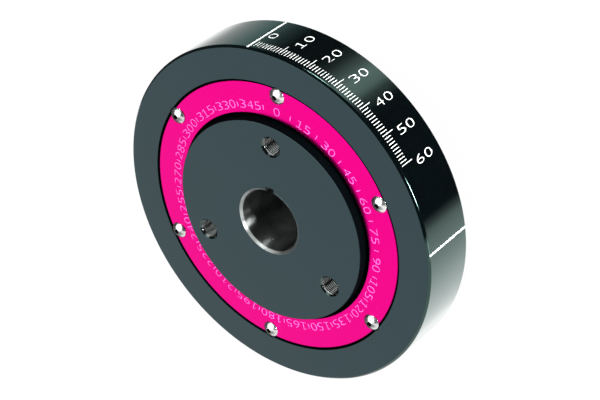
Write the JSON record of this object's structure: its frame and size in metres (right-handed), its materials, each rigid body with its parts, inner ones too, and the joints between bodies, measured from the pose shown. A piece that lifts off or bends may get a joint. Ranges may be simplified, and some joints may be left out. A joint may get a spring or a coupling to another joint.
{
  "type": "harmonic balancer",
  "caption": "Crankshaft vibration damper: a keyed hub with a seal nose, a rubber-bonded inertia ring with timing marks, and a screwed-on retaining plate.",
  "frame": {"origin": "centre of the hub nose's end face, which the part stands on", "axes": "+Z along the crankshaft axis from the engine to the pulley side; +Y towards the keyway, in line with a pulley hole; +X completes a right-handed frame"},
  "size_m": [0.1714, 0.1714, 0.0603],
  "materials": {
    "hub_steel": "satin black coating; bore, nose, keyway and tapped threads bare machined steel",
    "ring_steel": "satin black face, gloss black rim, white-filled engraved timing marks",
    "elastomer": "matt black moulded rubber",
    "plate_magenta": "satin magenta anodising",
    "screw_steel": "bright stainless steel"
  },
  "bodies": {
    "root": {"hub": "hub_steel", "inertia_ring": "ring_steel", "elastomer_ring": "elastomer", "retaining_plate": "plate_magenta", "retainer_screw_1": "screw_steel", "retainer_screw_2": "screw_steel", "retainer_screw_3": "screw_steel", "retainer_screw_4": "screw_steel", "retainer_screw_5": "screw_steel", "retainer_screw_6": "screw_steel"}
  },
  "joints": []
}
